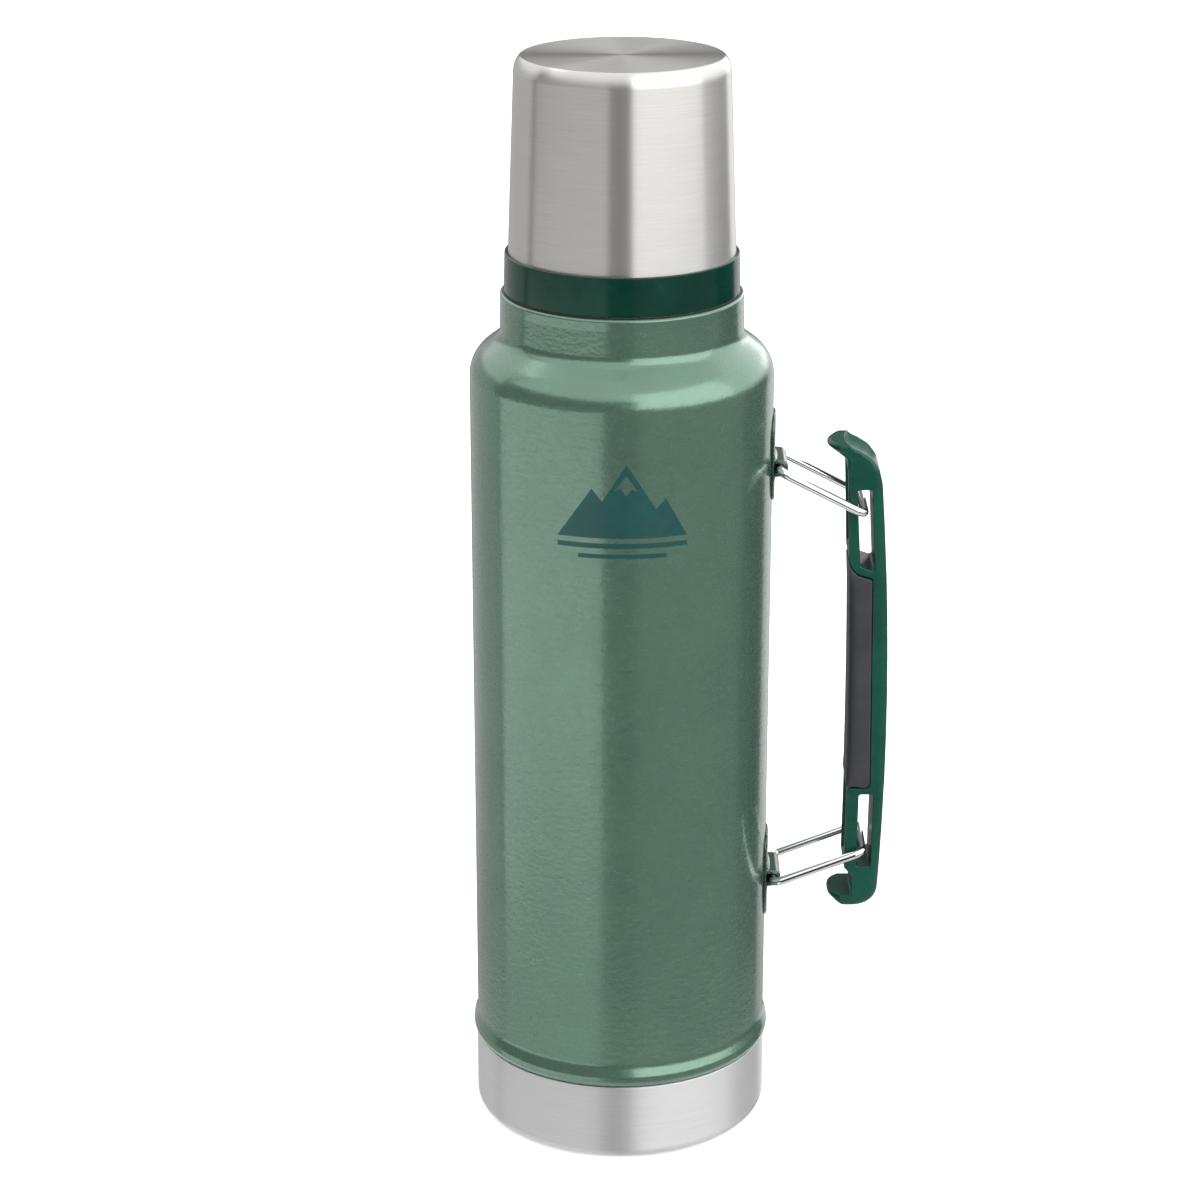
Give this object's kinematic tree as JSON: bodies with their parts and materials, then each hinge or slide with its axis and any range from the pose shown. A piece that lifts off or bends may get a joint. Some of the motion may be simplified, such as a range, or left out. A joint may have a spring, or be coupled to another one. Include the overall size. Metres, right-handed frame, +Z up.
{
  "type": "vacuum flask",
  "caption": "Green hammertone steel vacuum flask with a bare steel cup and base, a stopper and a fold-in handle on wire bails.",
  "frame": {"origin": "centre of the base cup's flat underside, on the flask's axis", "axes": "+Z up along the flask's axis, -Y to the front, +X towards the handle"},
  "size_m": [0.1412, 0.1026, 0.3686],
  "materials": {
    "hammertone_paint": "hammertone gloss",
    "handle_plastic": "gloss moulded",
    "bracket_paint": "hammertone gloss",
    "base_steel": "brushed round the axis",
    "cup_steel": "brushed round the axis",
    "liner_steel": "satin",
    "bail_chrome": "polished",
    "green_plastic": "gloss",
    "stopper_plastic": "satin moulded",
    "lining_plastic": "satin moulded",
    "black_rubber": "matte",
    "grip_rubber": "matte",
    "silicone": "matte",
    "foam": "cellular foam",
    "foil": "thin copper-faced foil",
    "getter_alloy": "sintered",
    "seal_glass": "fused glass bead"
  },
  "bodies": {
    "flask": {"outer_shell": "hammertone_paint", "base_cup": "base_steel", "inner_liner": "liner_steel", "liner_neck": "liner_steel", "vacuum_base": "liner_steel", "getter": "getter_alloy", "evacuation_seal": "seal_glass", "radiation_foil": "foil", "mouth_collar": "liner_steel", "seat_ring": "black_rubber", "upper_bracket": "bracket_paint", "lower_bracket": "bracket_paint"},
    "cup": {"cup_shell": "cup_steel", "cup_liner": "lining_plastic", "cup_band": "green_plastic"},
    "stopper": {"stopper_body": "stopper_plastic", "stopper_flange": "stopper_plastic", "stopper_cap": "stopper_plastic", "stopper_base": "stopper_plastic", "stopper_core": "foam", "stopper_gasket": "silicone"},
    "handle": {"handle_frame": "handle_plastic", "grip_insert": "grip_rubber"},
    "upper_bail_body": {"upper_bail": "bail_chrome"},
    "lower_bail_body": {"lower_bail": "bail_chrome"}
  },
  "joints": [
    {"name": "cup_lift", "type": "slide", "parent": "flask", "child": "cup", "axis": [0, 0, 1], "range_m": [0, 0.11]},
    {"name": "stopper_lift", "type": "slide", "parent": "flask", "child": "stopper", "axis": [0, 0, 1], "range_m": [0, 0.039]},
    {"name": "handle_fold", "type": "slide", "parent": "flask", "child": "handle", "axis": [-1, 0, 0], "range_m": [0, 0.015]},
    {"name": "upper_bail_swing", "type": "hinge", "parent": "flask", "child": "upper_bail_body", "pos_m": [0.0523, 0, 0.2334], "axis": [0, 1, 0], "range_deg": [0, 36.8]},
    {"name": "lower_bail_swing", "type": "hinge", "parent": "flask", "child": "lower_bail_body", "pos_m": [0.0525, 0, 0.0858], "axis": [0, -1, 0], "range_deg": [0, 40.4]}
  ],
  "couplings": [
    {"joint": "upper_bail_swing", "follows": "handle_fold", "rad_per_m": 42.78},
    {"joint": "lower_bail_swing", "follows": "handle_fold", "rad_per_m": 46.95}
  ]
}
